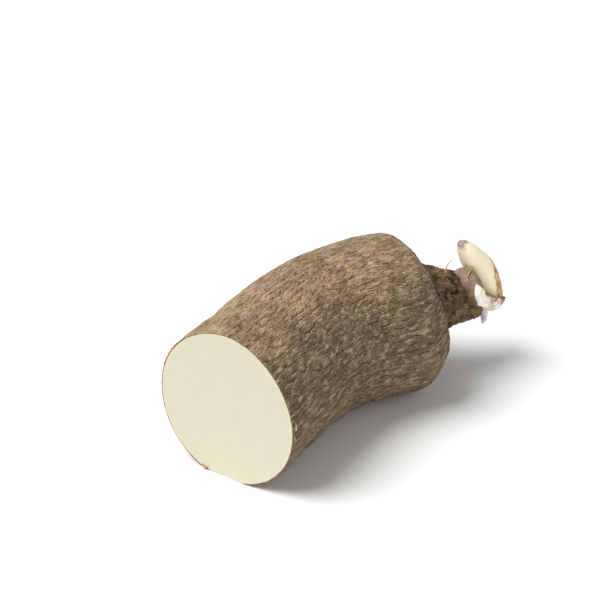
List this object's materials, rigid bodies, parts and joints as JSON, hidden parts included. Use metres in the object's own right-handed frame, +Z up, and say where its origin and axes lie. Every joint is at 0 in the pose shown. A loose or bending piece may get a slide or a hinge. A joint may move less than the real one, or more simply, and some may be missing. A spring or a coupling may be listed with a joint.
{
  "type": "yam",
  "caption": "Crown half of a white yam, cut across and lying on its side, with a rough woody crown and a young pale shoot growing out of it.",
  "frame": {"origin": "centre of the whole object's box, on the surface that the tuber lies on", "axes": "+X from the cut face into the tuber, +Z up, +Y to the left of +X"},
  "size_m": [0.215, 0.113, 0.094],
  "materials": {
    "skin": "dry, matte and finely fissured",
    "bud_skin": "smooth, satin",
    "shoot": "smooth, satin, slightly moist",
    "collar": "torn, satin",
    "sheath": "dry, papery",
    "scale": "dry, papery",
    "root_tip": "smooth, satin",
    "fibre": "dry, matte"
  },
  "bodies": {
    "root": {"tuber": "skin", "shoot_bud": "bud_skin", "shoot": "shoot", "bud_collar": "collar", "shoot_sheath": "sheath", "torn_scale": "scale", "root_tip": "root_tip", "fibre_crown": "fibre", "fibre_rim": "fibre"}
  },
  "joints": []
}
